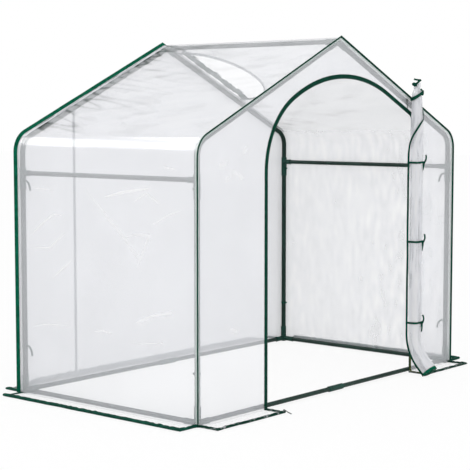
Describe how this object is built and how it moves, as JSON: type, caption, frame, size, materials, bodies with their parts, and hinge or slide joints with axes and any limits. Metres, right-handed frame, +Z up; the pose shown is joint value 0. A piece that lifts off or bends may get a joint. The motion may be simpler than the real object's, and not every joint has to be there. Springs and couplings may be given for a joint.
{
  "type": "plastic greenhouse",
  "caption": "Walk-in garden greenhouse: a clear plastic cover with an arched doorway, a roof vent and ground flaps over a gabled frame of green steel tubes.",
  "frame": {"origin": "middle of the footprint at ground level", "axes": "+Z up, +Y from the front gable with the doorway to the back gable, +X to the right seen from the front"},
  "size_m": [2, 1.2303, 1.5137],
  "materials": {
    "frame_green": "satin powder coat",
    "connector_green": "moulded",
    "clear_film": "clear, slightly hazy",
    "seam_clear": "welded seam",
    "trim_green": "woven binding tape",
    "tie_green": "woven ribbon"
  },
  "bodies": {
    "root": {"back_apex_joint": "connector_green", "back_base_coupling": "connector_green", "back_base_tube_left": "frame_green", "back_base_tube_right": "frame_green", "back_gable_binding": "trim_green", "back_ground_flap": "clear_film", "back_left_foot": "connector_green", "back_left_post": "frame_green", "back_left_rafter": "frame_green", "back_left_tee": "connector_green", "back_panel": "clear_film", "back_right_foot": "connector_green", "back_right_post": "frame_green", "back_right_rafter": "frame_green", "back_right_tee": "connector_green", "back_seam_strip": "seam_clear", "door_edge_tape": "trim_green", "door_hinge_film": "clear_film", "door_roll": "clear_film", "door_ties": "tie_green", "flap_hems": "trim_green", "front_apex_joint": "connector_green", "front_base_coupling": "connector_green", "front_base_tube_left": "frame_green", "front_base_tube_right": "frame_green", "front_gable_binding": "trim_green", "front_left_foot": "connector_green", "front_left_ground_flap": "clear_film", "front_left_post": "frame_green", "front_left_rafter": "frame_green", "front_left_tee": "connector_green", "front_panel_left": "clear_film", "front_panel_right": "clear_film", "front_panel_top": "clear_film", "front_right_foot": "connector_green", "front_right_ground_flap": "clear_film", "front_right_post": "frame_green", "front_right_rafter": "frame_green", "front_right_tee": "connector_green", "left_base_tube": "frame_green", "left_cover_sheet": "clear_film", "left_ground_flap": "clear_film", "left_rail": "frame_green", "post_ribbons": "tie_green", "ridge_tube": "frame_green", "right_base_tube": "frame_green", "right_cover_sheet": "clear_film", "right_ground_flap": "clear_film", "right_rail": "frame_green", "vent_edge_tape": "seam_clear", "vent_flap_roll": "clear_film", "vent_ties": "tie_green"}
  },
  "joints": []
}
